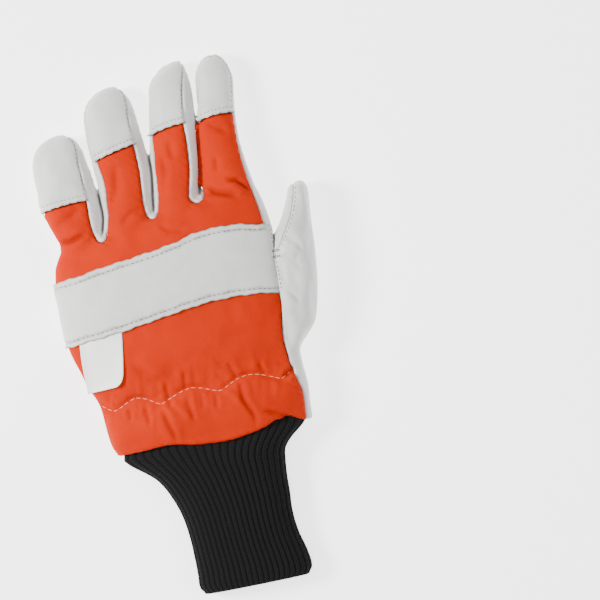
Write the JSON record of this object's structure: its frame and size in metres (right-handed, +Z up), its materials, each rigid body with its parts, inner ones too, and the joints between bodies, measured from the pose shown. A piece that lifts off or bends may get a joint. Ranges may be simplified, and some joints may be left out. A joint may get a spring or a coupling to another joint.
{
  "type": "chainsaw glove, left hand",
  "caption": "Left-hand work glove with a leather palm, a padded orange back with a leather knuckle strap, and a long rib-knit cuff.",
  "frame": {"origin": "middle of the glove's box, on the surface where it lies palm down", "axes": "+Y to the fingertips, +X to the thumb, +Z up from the palm to the back of the hand"},
  "size_m": [0.1554, 0.3008, 0.0361],
  "materials": {
    "leather": "matt pale grey grain leather",
    "back_fabric": "orange woven polyamide, padded",
    "label_satin": "white satin ribbon",
    "cuff_knit": "black rib knit"
  },
  "bodies": {
    "root": {"palm_leather": "leather", "ring_finger_front": "leather", "middle_finger_front": "leather", "palm_band": "leather", "thumb_front": "leather", "thumb_back": "leather", "little_ring_gusset": "leather", "ring_middle_gusset": "leather", "middle_index_gusset": "leather", "little_cap": "leather", "ring_cap": "leather", "middle_cap": "leather", "index_cap": "leather", "back_fabric": "back_fabric", "knuckle_strap": "leather", "label": "label_satin", "knit_cuff": "cuff_knit"}
  },
  "joints": []
}
